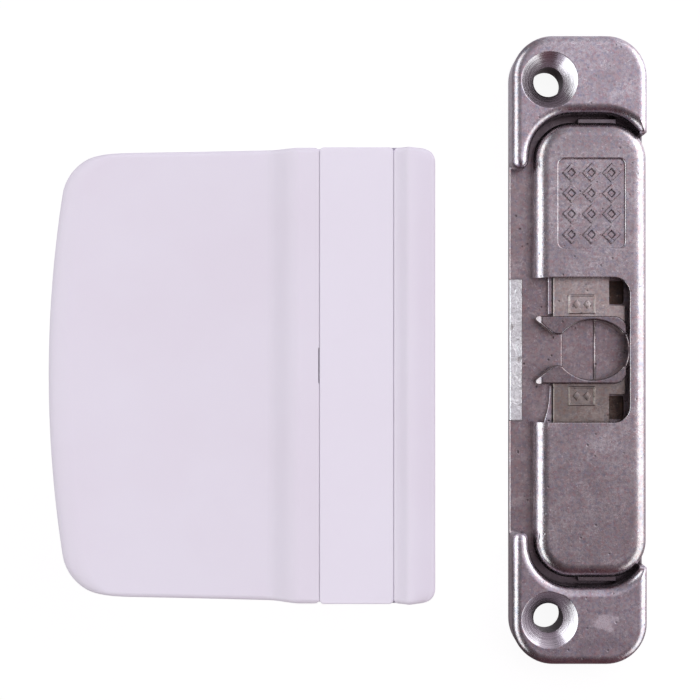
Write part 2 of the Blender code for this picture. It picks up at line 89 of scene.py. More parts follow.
# ---- catch, from its own middle
FLOOR = 2.0
CASTING_CORNER, BLOCK_ROUND = 6.5, 1.55
SCREW_X, SCREW_Y, SCREW_HOLE_R, SCREW_HEAD_R = -4.85, 42.8, 2.35, 4.5
PRONG_INNER_X, PRONG_END_Y = -8.05, 28.8
BAY_END_Y, BAY_CORNER, HORN_Y = 37.65, 7.0, 34.4
HOUSING_LEFT, HOUSING_END, HOUSING_CORNER = -7.25, 36.3, 6.0
HOUSING_WALL, ROOF, HOUSING_ROUND = 1.2, 1.0, 2.4
WINDOW_RIGHT, WINDOW_HALF, WINDOW_CORNER = 7.87, 11.5, 2.6
TONGUE_X, TONGUE_END, TONGUE_TOP = (0.0, 6.2), 37.1, 4.2
PANEL_X, PANEL_Y, PANEL_CORNER, PANEL_DEPTH = (-3.45, 7.05), (16.2, 30.3), 0.9, 0.55
WINDOW_FLARE, PANEL_FLARE, GROOVE_FLARE = 0.16, 0.25, 0.42
GROOVE_X, GROOVE_HALF, GROOVE_FLOOR = (-2.07, 2.93), 20.0, 1.3
GUIDE_TOP = 3.4
JAW_RIB = (-4.65, -4.05), (5.7, 13.9)
SPRING_RIBS = ((-5.2, -4.05), (18.6, 27.6)), ((5.15, 6.2), (15.4, 30.2))
FLARED_RIB = (
    (-4.05, -5.7), (-4.35, -5.7), (-4.4, -7.0), (-4.5, -8.4), (-4.75, -9.75),
    (-5.15, -11.1), (-5.35, -12.1), (-5.35, -13.9), (-4.05, -13.9),
)
RELIEF_X, RELIEF_Y, RELIEF_FLOOR = (5.25, 7.75), (7.4, 11.2), 0.7
STOP_R, STOP_ANGLE, STOP_RIGHT, STOP_TOP = 6.3, 28, 9.4, 2.6
RIVETS = {  # x, y and boss radius
    "inner": (7.0, 13.2, 1.7),
    "outer_left": (-5.2, 29.5, 1.3),
    "outer_right": (8.2, 29.5, 1.3),
}
RIVET_R, RIVET_HEAD_R, RIVET_END = 0.6, 1.2, 5.0
RIVET_SEAT = (1.55, -0.1), (1.45, 0.02), (0.75, 0.62), (0.75, FLOOR + 0.5)

SHELF_TOP, NOSE_BOTTOM = 4.6, 3.7
JAW_OUTER_Y, HEEL_R = 5.4, 2.0
TAIL_X, TAIL_END = (-3.95, 5.05), 15.5
EAR_X, EAR_Y = -5.05, 14.0
SHOULDER_X, SHOULDER_Y = 7.55, 7.2
POCKET_X, POCKET_OFFSET, POCKET_R, POCKET_ARC = 2.2, 1.72, 6.5, (137.6, 40.4)
NOSE_SLOPE_X = -5.75
MARK_X, MARK_Y, MARK_LINE, MARK_RISE = (-1.55, 2.75), (5.8, 8.9), 0.32, 0.3
MARK_PITCH, MARK_HALF = 0.85, (0.62, 0.75)

SPRING_X, SPRING_Z = (-1.75, 2.85), (FLOOR + CATCH_TOP - ROOF) / 2
SPRING_OUTER_R, SPRING_WIRE_R, SPRING_TURNS = 1.8, 0.3, 8
CLOSED_PITCH = 2.2 * SPRING_WIRE_R
SPIGOT_R, SPIGOT_LENGTH = 0.8, 1.8
LUG_X, LUG_Y, LUG_TOP = (-3.9, 5.0), (31.0, 32.2), 6.0
PIN_R, PIN_HEAD_R, PIN_HEAD_LENGTH = 0.8, 1.7, 0.7
PIN_TIP_Y = TAIL_END + SPIGOT_LENGTH + JAW_TRAVEL + 0.2
GAP = 0.1
RUB_X, RUB_Y = 4.0, -43.3

# ---- handle, from its screw cover's middle
BLOCK_LEFT, BLOCK_CORNER = -9.5, 2.2
WING_EDGE_R, WING_CORNER = 178.0, 7.2
WING_THICK, WING_EDGE_Z, WING_SLOPE, WING_BOW = 3.0, 17.0, 0.10, 0.00105
ROLL_WIDTH, ROLL_DROP = 4.0, 2.4
RAMP_START, RAMP_END = -13.3, -8.3
ROOT_FILLET, END_ROUND = 4.0, 0.8
EDGE_LIP, EDGE_DROP, EDGE_HANG = 0.9, 0.35, 0.4
REBATE_HALF, REBATE_Z, REBATE_LIP = 5.5, 22.3, 0.14
HOLLOW_STEP = 0.05
RAIL_CREST_X, RAIL_CREST_Z = 7.8, HANDLE_HIGH.z
RAIL_FALL, RAIL_ROUND = 1.15, 0.7
FOOT_CHAMFER = 0.4
CHANNEL_HALF_X, CHANNEL_HALF_Y, CHANNEL_FLOOR = 4.1, 29.5, 3.0
HANDLE_SCREW_Y, HANDLE_HOLE_R, HANDLE_HEAD_R = 21.0, 2.25, 3.9
NOTCH_Y, NOTCH_WIDTH = (-1.1, 4.1), 0.15
CLIP_X, CLIP_HALF_LENGTH, CLIP_Y, CLIP_BOTTOM = (2.9, 3.9), 7.0, 16.0, 17.5
COVER_SPREAD = 0.06
CORES = (  # across, and how high each row of cores reaches
    ((BLOCK_LEFT + 1.5, -CHANNEL_HALF_X - 1.5), 16.0),
    ((CHANNEL_HALF_X + 1.5, BLOCK_RIGHT - 1.6), 20.5),
)
CORE_MIDDLES, CORE_HALF_LENGTH = (-20.8, 0.0, 20.8), 9.6


# ---- outlines
def arc(centre, radius, start, end, steps):
    """Points on an arc, with its angles in degrees, both ends included."""
    angles = np.radians(np.linspace(start, end, steps + 1))
    return [(centre[0] + radius * math.cos(a), centre[1] + radius * math.sin(a)) for a in angles]


def rounded_rectangle(x, y, radius, steps):
    """x and y are the rectangle's lowest and highest values."""
    points = []
    for right, top, start in ((1, 1, 0), (0, 1, 90), (0, 0, 180), (1, 0, 270)):
        centre = (x[right] + (-radius if right else radius), y[top] + (-radius if top else radius))
        points += arc(centre, radius, start, start + 90, steps)
    return points


def flipped(points, side):
    """The points, or for side -1 their mirror image in Y."""
    return [(x, side * y) for x, y in points]


def spaced(points, spacing):
    """The closed outline with its long edges split, so that no edge is longer than spacing."""
    result = []
    for (ax, ay), (bx, by) in zip(points, points[1:] + points[:1]):
        parts = max(1, math.ceil(math.hypot(bx - ax, by - ay) / spacing))
        result += [(ax + (bx - ax) * i / parts, ay + (by - ay) * i / parts) for i in range(parts)]
    return result


def clearance(points, outline):
    """How far each point is from a closed outline, and the direction straight away from it."""
    along = np.roll(outline, -1, axis=0) - outline
    reach = points[:, None] - outline[None]
    share = np.clip((reach * along).sum(2) / np.maximum((along**2).sum(1), 1e-12), 0, 1)
    gap = reach - along[None] * share[..., None]
    square = (gap**2).sum(2)
    nearest = square.argmin(1)
    every = np.arange(len(points))
    distance = np.sqrt(square[every, nearest])
    return distance, gap[every, nearest] / np.maximum(distance, 1e-9)[:, None]


def inset_points(outline, depth):
    """For each point of a closed outline, the point that lies depth inside it.

    Each point climbs away from the outline, so where two edges are close, or meet at a corner,
    their points come together on the line half way between them.
    """
    before, after = np.roll(outline, 1, axis=0), np.roll(outline, -1, axis=0)
    x, y = outline.T
    turn = np.sign((x * np.roll(y, -1) - np.roll(x, -1) * y).sum())
    ahead = (after - outline) / (np.linalg.norm(after - outline, axis=1)[:, None] + 1e-12)
    behind = (outline - before) / (np.linalg.norm(outline - before, axis=1)[:, None] + 1e-12)
    inward = turn * np.stack([-(ahead + behind)[:, 1], (ahead + behind)[:, 0]], axis=1)
    inward /= np.linalg.norm(inward, axis=1)[:, None] + 1e-12
    coarse, fine = depth / 12, depth / 60
    points = outline + inward * coarse
    for step in [coarse] * 34 + [fine] * 12:
        distance, away = clearance(points, outline)
        points = points + away * np.clip(depth - distance, -step, step)[:, None]
    return points


# ---- mesh tools
def skin(bm, rings, closed=False):
    """Skins a row of rings with equally many points, and caps both ends unless the row is a loop."""
    loops = [[bm.verts.new(p) for p in ring] for ring in rings]
    pairs = list(zip(loops, loops[1:]))
    if closed:
        pairs.append((loops[-1], loops[0]))
    else:
        bm.faces.new(loops[0])
        bm.faces.new(loops[-1])
    for low, high in pairs:
        for i in range(len(low)):
            j = (i + 1) % len(low)
            bm.faces.new((low[i], low[j], high[j], high[i]))


def linked(name, data):
    """A new object in the scene."""
    obj = bpy.data.objects.new(name, data)
    bpy.context.scene.collection.objects.link(obj)
    return obj


def to_object(bm):
    """Welds points that meet, turns the faces outwards and makes the mesh an object."""
    bmesh.ops.remove_doubles(bm, verts=bm.verts, dist=0.0008)
    bmesh.ops.recalc_face_normals(bm, faces=bm.faces)
    mesh = bpy.data.meshes.new("shape")
    bm.to_mesh(mesh)
    bm.free()
    return linked("shape", mesh)


def slab_rings(outline, low, high, top_round, low_round, steps, spacing):
    """Rings for a flat piece with rounded edges. Edges that are too close together meet in a ridge."""
    edge = np.array(spaced(outline, spacing), float)
    rings = []
    for level, radius, direction in ((low, low_round, -1), (high, top_round, 1)):
        if not radius:
            rings.append((level, [(x, y, level) for x, y in edge]))
            continue
        inner = inset_points(edge, radius)
        for turn in np.linspace(0, math.pi / 2, steps + 1):
            points = edge + (inner - edge) * (1 - math.cos(turn))
            deep = np.minimum(clearance(points, edge)[0], radius)
            rise = np.sqrt(np.maximum(radius**2 - (radius - deep) ** 2, 0)) - radius
            ring = [(x, y, level + direction * r) for (x, y), r in zip(points, rise)]
            rings.append((level + direction * (math.sin(turn) - 1) * radius, ring))
    rings.sort(key=lambda item: item[0])
    return [ring for _, ring in rings]


def slab(outline, low, high, top_round=0.0, low_round=0.0, steps=6, spacing=0.8):
    bm = bmesh.new()
    skin(bm, slab_rings(outline, low, high, top_round, low_round, steps, spacing))
    return to_object(bm)


def box(x, y, z, top_round=0.0, corner=0.0):
    """A block with its lowest and highest x, y and z. corner rounds its upright edges."""
    if corner:
        outline = rounded_rectangle(x, y, corner, 4)
    else:
        outline = [(x[0], y[0]), (x[1], y[0]), (x[1], y[1]), (x[0], y[1])]
    return slab(outline, z[0], z[1], top_round, steps=3, spacing=50)


def flared_cutter(outline, low, top, flare):
    """A cutter that leaves a rounded edge round its mouth. outline(d) gives its outline, d wider."""
    rings = [[(x, y, low) for x, y in outline(0.0)]]
    for turn in np.linspace(0, math.pi / 2, 5):
        level = top - flare + flare * math.sin(turn)
        rings.append([(x, y, level) for x, y in outline(flare * (1 - math.cos(turn)))])
    rings.append([(x, y, top + 1.0) for x, y in outline(flare)])
    bm = bmesh.new()
    skin(bm, rings)
    return to_object(bm)


def mirrored(span, side):
    """A span, lowest value first, or for side -1 its mirror image."""
    return tuple(sorted((side * span[0], side * span[1])))


def turned(profile, centre, sides, along_y=0):
    """A turned solid from (radius, height) pairs. along_y is +1 or -1 for an axis along Y."""
    rings = []
    for radius, height in profile:
        ring = []
        for angle in np.linspace(0, math.tau, sides, endpoint=False):
            c, s = radius * math.cos(angle), radius * math.sin(angle)
            if along_y:
                ring.append((centre[0] + c, along_y * height, centre[1] + s))
            else:
                ring.append((centre[0] + c, centre[1] + s, height))
        rings.append(ring)
    bm = bmesh.new()
    skin(bm, rings)
    return to_object(bm)


def combine(target, operation, tools):
    """Joins each tool to the target, or cuts it away, and removes the tool."""
    for tool in tools:
        modifier = target.modifiers.new("combine", "BOOLEAN")
        modifier.operation = operation
        modifier.object = tool
        modifier.solver = "EXACT"
    graph = bpy.context.evaluated_depsgraph_get()
    mesh = bpy.data.meshes.new_from_object(target.evaluated_get(graph))
    target.modifiers.clear()
    target.data = mesh
    for tool in tools:
        bpy.data.objects.remove(tool)


def join(target, *tools):
    combine(target, "UNION", tools)


def cut(target, *tools):
    combine(target, "DIFFERENCE", tools)


def place(obj, name, centre, body, material, nodes, weighted=True):
    """Puts a finished shape into the row frame as the piece that stands for its CAD nodes."""
    obj.name = obj.data.name = name
    obj.data.transform(Matrix.Scale(MM, 4) @ Matrix.Translation((centre[0], centre[1], 0)))
    obj.data.materials.clear()
    obj.data.materials.append(material)
    obj.data.shade_smooth()
    obj.data.set_sharp_from_angle(angle=math.radians(SHARP_ANGLE))
    if weighted:
        modifier = obj.modifiers.new("face normals", "WEIGHTED_NORMAL")
        modifier.keep_sharp = True
    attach(obj, body)
    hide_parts(*nodes)
    return obj


# ---- materials
class Nodes:
    """A node tree, with short ways to add and link its nodes."""

    def __init__(self, tree):
        self.tree = tree

    def add(self, kind, inputs=None, **settings):
        node = self.tree.nodes.new(kind)
        for key, value in settings.items():
            setattr(node, key, value)
        for key, value in (inputs or {}).items():
            if isinstance(value, bpy.types.NodeSocket):
                self.tree.links.new(value, node.inputs[key])
            else:
                node.inputs[key].default_value = value
        return node

    def span(self, value, low, high, to_low=0.0, to_high=1.0):
        """The value with its range low to high turned into to_low to to_high, and held to it."""
        inputs = {"Value": value, "From Min": low, "From Max": high, "To Min": to_low, "To Max": to_high}
        return self.add("ShaderNodeMapRange", inputs).outputs["Result"]

    def math(self, operation, a, b):
        return self.add("ShaderNodeMath", {0: a, 1: b}, operation=operation).outputs["Value"]

    def vector_math(self, operation, *values):
        return self.add("ShaderNodeVectorMath", dict(enumerate(values)), operation=operation)

    def mix(self, factor, a, b):
        """One colour turned into another by factor. Each is a socket or three values."""
        a, b = (c if isinstance(c, bpy.types.NodeSocket) else (*c, 1) for c in (a, b))
        return self.add("ShaderNodeMix", {0: factor, 6: a, 7: b}, data_type="RGBA").outputs[2]


class Shading(Nodes):
    """A material, whose patterns are in the object's own metres."""

    def __init__(self, name, colour, roughness, metallic):
        self.material = bpy.data.materials.new(name)
        self.material.use_nodes = True
        super().__init__(self.material.node_tree)
        self.shader = self.tree.nodes["Principled BSDF"]
        self.shader.inputs["Base Color"].default_value = (*colour, 1)
        self.shader.inputs["Roughness"].default_value = roughness
        self.shader.inputs["Metallic"].default_value = metallic
        self.where = self.add("ShaderNodeTexCoord").outputs["Object"]

    def noise(self, per_mm, detail=3.0, roughness=0.55, stretch=(1, 1, 1), distortion=0.0):
        """Noise with about per_mm waves to the millimetre, drawn out along one axis by stretch."""
        at = self.add("ShaderNodeMapping", {"Vector": self.where, "Scale": stretch})
        inputs = {"Vector": at.outputs["Vector"], "Scale": per_mm / MM, "Detail": detail}
        inputs |= {"Roughness": roughness, "Distortion": distortion}
        return self.add("ShaderNodeTexNoise", inputs).outputs["Fac"]

    def pits(self, per_mm, size, stretch=(1, 1, 1)):
        """1 inside small round spots, 0 between them."""
        at = self.add("ShaderNodeMapping", {"Vector": self.where, "Scale": stretch})
        inputs = {"Vector": at.outputs["Vector"], "Scale": per_mm / MM}
        cells = self.add("ShaderNodeTexVoronoi", inputs)
        return self.span(cells.outputs["Distance"], size, size * 0.5)

    def colour(self, value):
        self.tree.links.new(value, self.shader.inputs["Base Color"])

    def roughness(self, value):
        self.tree.links.new(value, self.shader.inputs["Roughness"])

    def bump(self, *layers):
        """Stacks bump layers, each a height socket and how many millimetres it is high."""
        normal = None
        for height, rise in layers:
            inputs = {"Height": height, "Distance": rise * MM, "Strength": 1.0}
            if normal is not None:
                inputs["Normal"] = normal
            normal = self.add("ShaderNodeBump", inputs).outputs["Normal"]
        self.tree.links.new(normal, self.shader.inputs["Normal"])


def tinted(colour, red, green, blue):
    return (colour[0] * red, colour[1] * green, colour[2] * blue)


def scaled(colour, factor):
    return tuple(min(1.0, channel * factor) for channel in colour)


def cast_metal(name, palette, rough, pitted=0.5, shade=None, pale=None):
    """Satin die casting: clouded colour, fine grain, slow waves, small pits, flecks and hairlines.

    palette is its light, dark and warm tones. shade(s) gives how much painted shade the surface gets, and
    pale(s) how much of it is rubbed pale.
    """
    light, dark, warm = palette
    cool = tinted(dark, 0.92, 0.97, 1.08)
    s = Shading(name, light, rough, 1.0)
    clouds = s.noise(0.16, detail=4, distortion=0.6)
    mottle = s.noise(0.7, detail=5, roughness=0.75)
    tint = s.noise(1.1, detail=3, roughness=0.7)
    grain = s.noise(2.3, detail=4, roughness=0.8)
    rust_grain = s.noise(1.9, detail=3, roughness=0.7)
    blue_grain = s.noise(1.6, detail=3, roughness=0.7, stretch=(1, 1, 1.3))
    flecks = s.pits(1.1, 0.17)
    scratches = s.noise(2.2, detail=2, stretch=(1, 0.06, 1))
    contours = s.math("SUBTRACT", s.noise(0.55, detail=2, distortion=2.5), 0.5)
    swirls = s.span(s.math("ABSOLUTE", contours, 0), 0.03, 0.0)
    scuffs = s.math("MULTIPLY", swirls, s.span(s.noise(0.3, detail=2), 0.51, 0.6))
    waves = s.noise(0.22, detail=1)
    pits = s.pits(0.5, 0.11)
    tone = s.mix(s.span(clouds, 0.38, 0.62), dark, light)
    tone = s.mix(s.span(mottle, 0.48, 0.64, 0, 0.9), tone, warm)
    tone = s.mix(s.span(tint, 0.5, 0.64, 0, 0.85), tone, cool)
    tone = s.mix(s.span(rust_grain, 0.5, 0.66, 0, 0.6), tone, tinted(warm, 0.9, 0.66, 0.7))
    tone = s.mix(s.span(blue_grain, 0.52, 0.68, 0, 0.6), tone, tinted(cool, 0.66, 0.78, 0.88))
    tone = s.mix(s.span(grain, 0.47, 0.66, 0, 0.5), tone, scaled(dark, 0.55))
    tone = s.mix(s.math("MULTIPLY", flecks, 0.4), tone, scaled(light, 1.5))
    tone = s.mix(s.math("MULTIPLY", scuffs, 0.42), tone, scaled(light, 1.6))
    tone = s.mix(s.math("MULTIPLY", pits, pitted), tone, scaled(dark, 0.3))
    if pale:
        tone = s.mix(pale(s), tone, scaled(light, 1.5))
    if shade:
        # painted shade: the colour is darkened towards a near-black tone where shade(s) says
        tone = s.mix(shade(s), tone, PAINTED_SHADE)
    s.colour(tone)
    rough_map = s.span(mottle, 0.3, 0.7, rough - 0.04, rough + 0.06)
    s.roughness(s.math("ADD", rough_map, s.span(scratches, 0.35, 0.65, -0.03, 0.04)))
    s.bump(
        (waves, 0.06),
        (grain, 0.022),
        (rust_grain, 0.008),
        (scratches, 0.005),
        (s.math("SUBTRACT", 1.0, pits), 0.03),
    )
    return s.material


def gap_painted_shade(s):
    """Painted shade in the two narrow gaps beyond the housing's ends, low down beside the housing."""
    split = s.add("ShaderNodeSeparateXYZ", {0: s.where})
    along = s.math("ABSOLUTE", split.outputs["Y"], 0.0)
    prong = CATCH_CENTRE.x + PRONG_INNER_X
    beyond = s.span(along, (HOUSING_END - 6.5) * MM, (HOUSING_END - 2.5) * MM)
    low = s.span(split.outputs["Z"], 5.0 * MM, 4.1 * MM)
    across = s.span(split.outputs["X"], (prong - 0.4) * MM, (prong + 0.2) * MM)
    return s.math("MULTIPLY", s.math("MULTIPLY", beyond, low), s.math("MULTIPLY", across, 0.88))


def rub_mark(s):
    """One pale rub mark on the -Y end block."""
    noise = s.add("ShaderNodeTexNoise", {"Vector": s.where, "Scale": 0.7 / MM, "Detail": 3.0})
    centre = ((CATCH_CENTRE.x + RUB_X) * MM, RUB_Y * MM, CATCH_TOP * MM)
    per_mm = (0.6 / MM, 1.0 / MM, 0.3 / MM)
    offset = s.vector_math("SUBTRACT", s.where, centre).outputs["Vector"]
    shape = s.vector_math("MULTIPLY", offset, per_mm).outputs["Vector"]
    reach = s.vector_math("LENGTH", shape)
    ragged = s.math("ADD", reach.outputs["Value"], s.span(noise.outputs["Fac"], 0.3, 0.7, -0.6, 0.6))
    return s.span(ragged, 1.25, 0.85, 0, 0.6)


def machined_metal(name, light, dark, centre):
    """A turned cone face: fine rings round the screw hole that is nearest."""
    s = Shading(name, light, 0.3, 1.0)
    absolute = s.vector_math("ABSOLUTE", s.where).outputs["Vector"]
    offset = s.vector_math("SUBTRACT", absolute, centre).outputs["Vector"]
    flat = s.vector_math("MULTIPLY", offset, (1, 1, 0)).outputs["Vector"]
    inputs = {"W": s.vector_math("LENGTH", flat).outputs["Value"], "Scale": 7 / MM, "Detail": 1.0}
    rings = s.add("ShaderNodeTexNoise", inputs, noise_dimensions="1D").outputs["Fac"]
    grain = s.noise(3.0, detail=2)
    s.colour(s.mix(s.span(rings, 0.35, 0.65), dark, light))
    s.roughness(s.span(rings, 0.3, 0.7, 0.2, 0.3))
    s.bump((rings, 0.005), (grain, 0.006))
    return s.material


def worn_strip(name):
    """The pale strip that the pin rides over: dented, bright and rough."""
    s = Shading(name, (0.8, 0.79, 0.82), 0.5, 1.0)
    clouds = s.noise(0.35, detail=4)
    dents = s.pits(0.42, 0.2, stretch=(1, 0.6, 1))
    grain = s.noise(2.6, detail=2)
    waves = s.noise(0.6, detail=2, distortion=0.8)
    tone = s.mix(s.span(clouds, 0.35, 0.7), (0.80, 0.79, 0.81), (1.0, 1.0, 1.0))
    tone = s.mix(s.span(grain, 0.5, 0.66, 0, 0.5), tone, (0.52, 0.49, 0.52))
    s.colour(s.mix(s.math("MULTIPLY", dents, 0.6), tone, (0.36, 0.32, 0.32)))
    s.roughness(s.span(grain, 0.3, 0.7, 0.5, 0.66))
    s.bump((waves, 0.4), (s.math("SUBTRACT", 1.0, dents), 0.08), (grain, 0.03))
    return s.material


def drawn_wire(name):
    s = Shading(name, (0.56, 0.55, 0.57), 0.3, 1.0)
    grain = s.noise(2.4, detail=2)
    clouds = s.noise(0.5, detail=3)
    s.colour(s.mix(s.span(clouds, 0.35, 0.65), (0.46, 0.44, 0.45), (0.62, 0.61, 0.62)))
    s.roughness(s.span(grain, 0.3, 0.7, 0.22, 0.38))
    s.bump((grain, 0.006))
    return s.material


def moulded_plastic(name, light, shade):
    """White moulded plastic with a faint spark-eroded grain and slow sink marks."""
    s = Shading(name, light, 0.38, 0.0)
    s.shader.inputs["IOR"].default_value = 1.5
    s.shader.inputs["Subsurface Weight"].default_value = 0.12
    s.shader.inputs["Subsurface Radius"].default_value = (1.0, 0.9, 1.0)
    s.shader.inputs["Subsurface Scale"].default_value = 1.2 * MM
    clouds = s.noise(0.045, detail=3)
    grain = s.noise(4.5, detail=2, roughness=0.6)
    sinks = s.noise(0.06, detail=1)
    s.colour(s.mix(s.span(clouds, 0.35, 0.65), shade, light))
    s.roughness(s.span(grain, 0.3, 0.7, 0.33, 0.45))
    s.bump((sinks, 0.06), (grain, 0.006))
    return s.material


# Each palette is a light, a dark and a warm tone.
CAST = (0.67, 0.63, 0.67), (0.47, 0.42, 0.455), (0.56, 0.44, 0.46)
COVER_CAST = [tinted(tone, 0.88, 0.88, 0.85) for tone in CAST]
FLOOR_CAST = [tinted(tone, 0.84, 0.80, 0.76) for tone in CAST]
# The floor inside the window is the floor's palette darkened further: painted shade, where the housing
# encloses it.
WINDOW_SHADED_CAST = [tinted(tone, 0.76, 0.72, 0.69) for tone in CAST]
UPPER_SHELF = (0.65, 0.59, 0.56), (0.51, 0.45, 0.42), (0.52, 0.42, 0.38)
# The lower jaw's palette is the upper one darkened: painted shade.
LOWER_SHELF_SHADED = [tinted(tone, 0.66, 0.65, 0.62) for tone in UPPER_SHELF]
HOOK = (0.36, 0.325, 0.335), (0.28, 0.24, 0.25), (0.31, 0.23, 0.23)
STAIN = (0.30, 0.24, 0.20), (0.12, 0.09, 0.075), (0.22, 0.15, 0.11)
# Near-black tones for the walls of the screw holes.
BORE_DARK = (0.12, 0.10, 0.10), (0.07, 0.06, 0.06), (0.10, 0.08, 0.07)
# The near-black tone that the painted shade in the gaps darkens towards.
PAINTED_SHADE = (0.12, 0.1, 0.11)

# shade= paints shade into the narrow gaps at the housing's ends.
ZINC = cast_metal("nickelled_zinc", CAST, 0.27, shade=gap_painted_shade, pale=rub_mark)
COVER_ZINC = cast_metal("cover_zinc", COVER_CAST, 0.24, shade=gap_painted_shade)
FLOOR_ZINC = cast_metal("floor_zinc", FLOOR_CAST, 0.3, pitted=0.8, shade=gap_painted_shade)
WINDOW_SHADED_ZINC = cast_metal("window_shaded_zinc", WINDOW_SHADED_CAST, 0.3, pitted=0.9)
UPPER_JAW_ZINC = cast_metal("upper_jaw_zinc", UPPER_SHELF, 0.32, pitted=0.7)
LOWER_JAW_SHADED_ZINC = cast_metal("lower_jaw_shaded_zinc", LOWER_SHELF_SHADED, 0.32, pitted=0.7)
JAW_POLISHED = cast_metal("jaw_polished", HOOK, 0.22)
STAINED = cast_metal("stained_zinc", STAIN, 0.4)
BORE = cast_metal("dark_bore", BORE_DARK, 0.55)
SCREW_CENTRE = ((CATCH_CENTRE.x + SCREW_X) * MM, SCREW_Y * MM, 0)
CONE = machined_metal("turned_cone", (0.69, 0.625, 0.675), (0.465, 0.42, 0.455), SCREW_CENTRE)
STRIP_ZINC = worn_strip("worn_zinc")
STEEL = drawn_wire("spring_steel")
PLASTIC = moulded_plastic("white_plastic", (0.745, 0.715, 0.80), (0.73, 0.69, 0.775))
# The screw cover's plastic is the handle's plastic made lighter: painted light.
LIT_COVER_PLASTIC = moulded_plastic("lit_cover_plastic", (0.77, 0.745, 0.83), (0.76, 0.73, 0.815))


# ---- catch: base casting
def block_outline():
    """The +Y end block: horn, outer corners, prong and the round bay that the housing ends in."""
    half_x, half_y = CATCH_HALF_X, CATCH_HALF_Y
    shift = BAY_END_Y - BAY_CORNER
    left, right = (PRONG_INNER_X + BAY_CORNER, shift), (half_x - BAY_CORNER, shift)
    horn = math.degrees(math.asin((HORN_Y - shift) / BAY_CORNER))
    tip_r = (PRONG_INNER_X + half_x) / 2 - 0.02
    tip = (-half_x + tip_r, PRONG_END_Y + tip_r)
    corner_y = half_y - CASTING_CORNER
    points = [(half_x, HORN_Y + 0.25)]  # the horn's blunt tip, which the last point closes
    points += arc((half_x - CASTING_CORNER, corner_y), CASTING_CORNER, 0, 90, 16)
    points += arc((-half_x + CASTING_CORNER, corner_y), CASTING_CORNER, 90, 180, 16)
    points += arc(tip, tip_r, 180, 360, 12)
    points += arc(left, BAY_CORNER, 180, 90, 14)
    points += arc(right, BAY_CORNER, 90, horn, 10)
    points += [(half_x - 0.35, HORN_Y - 0.05)]
    return points


def countersink(x, y, hole_r, head_r, top):
    """A cutter for a countersunk hole whose rim is slightly rounded."""
    depth = head_r - hole_r
    profile = [
        (hole_r, -1.0),
        (hole_r, top - depth - 0.08),
        (hole_r + 0.05, top - depth),
        (head_r - 0.08, top - 0.09),
        (head_r - 0.01, top - 0.03),
        (head_r + 0.08, top),
        (head_r + 0.08, top + 2.0),
    ]
    return turned(profile, (x, y), 96)


def base_ribs():
    """What stands on the casting's floor: guide ribs, lugs, and the stop behind the pocket."""
    root = FLOOR - 0.5
    ribs = [box(*JAW_RIB, (root, GUIDE_TOP), 0.15)]
    ribs.append(slab(FLARED_RIB, root, GUIDE_TOP, top_round=0.12, steps=3, spacing=0.6))
    for side in (1, -1):
        ribs += [box(x, mirrored(y, side), (root, GUIDE_TOP)) for x, y in SPRING_RIBS]
        ribs.append(box(LUG_X, mirrored(LUG_Y, side), (root, LUG_TOP), 0.2))
    stop = arc((POCKET_X, 0), STOP_R, -STOP_ANGLE, STOP_ANGLE, 16)
    stop += [(STOP_RIGHT, stop[-1][1]), (STOP_RIGHT, stop[0][1])]
    ribs.append(slab(stop, root, STOP_TOP, top_round=0.15, steps=3))
    return ribs


def base_cutters():
    """What is cut out of the casting: screw holes, reliefs, groove, and seats for strip, rivets and pins."""

    def groove(wider):
        half = GROOVE_HALF + wider
        x = (GROOVE_X[0] - wider, GROOVE_X[1] + wider)
        return rounded_rectangle(x, (-half, half), 0.2, 2)

    tools = [countersink(SCREW_X, side * SCREW_Y, SCREW_HOLE_R, SCREW_HEAD_R, CATCH_TOP) for side in (1, -1)]
    for side in (1, -1):
        tools.append(box(RELIEF_X, mirrored(RELIEF_Y, side), (RELIEF_FLOOR, FLOOR + 0.3), corner=0.4))
    tools.append(flared_cutter(groove, GROOVE_FLOOR, FLOOR, GROOVE_FLARE))
    seat_x = (-CATCH_HALF_X - 1, STRIP_HIGH.x - CATCH_CENTRE.x + GAP)
    tools.append(box(seat_x, (STRIP_LOW.y - GAP, STRIP_HIGH.y + GAP), (STRIP_LOW.z - GAP, 4)))
    for x, y, _ in RIVETS.values():
        tools += [turned(RIVET_SEAT, (x, side * y), 32) for side in (1, -1)]
    pin_hole = ((PIN_R + GAP, LUG_Y[0] - 1), (PIN_R + GAP, LUG_Y[1] + 1))
    for x in SPRING_X:
        tools += [turned(pin_hole, (x, SPRING_Z), 32, along_y=side) for side in (1, -1)]
    return tools


def base_region(face):
    """The material of one face of the casting."""
    x = face.center.x / MM - CATCH_CENTRE.x
    y, z = abs(face.center.y / MM), face.center.z / MM
    reach = math.hypot(x - SCREW_X, y - SCREW_Y)
    in_relief = RELIEF_X[0] < x < RELIEF_X[1] + 0.05 and RELIEF_Y[0] < y < RELIEF_Y[1]
    if reach < SCREW_HOLE_R + 0.02 and z < CATCH_TOP - 1:
        return BORE
    if reach < SCREW_HEAD_R - 0.05 and abs(face.normal.z) < 0.95:
        return CONE
    if 0.3 < z < FLOOR - 0.05 and in_relief:
        return STAINED
    if 0.3 < z < GUIDE_TOP - 0.3 and y < BAY_END_Y and x < CATCH_HALF_X - 0.5:
        # the floor inside the window gets the darkened copy: painted shade
        return WINDOW_SHADED_ZINC if y < WINDOW_HALF + 1 and x > HOUSING_LEFT else FLOOR_ZINC
    return ZINC


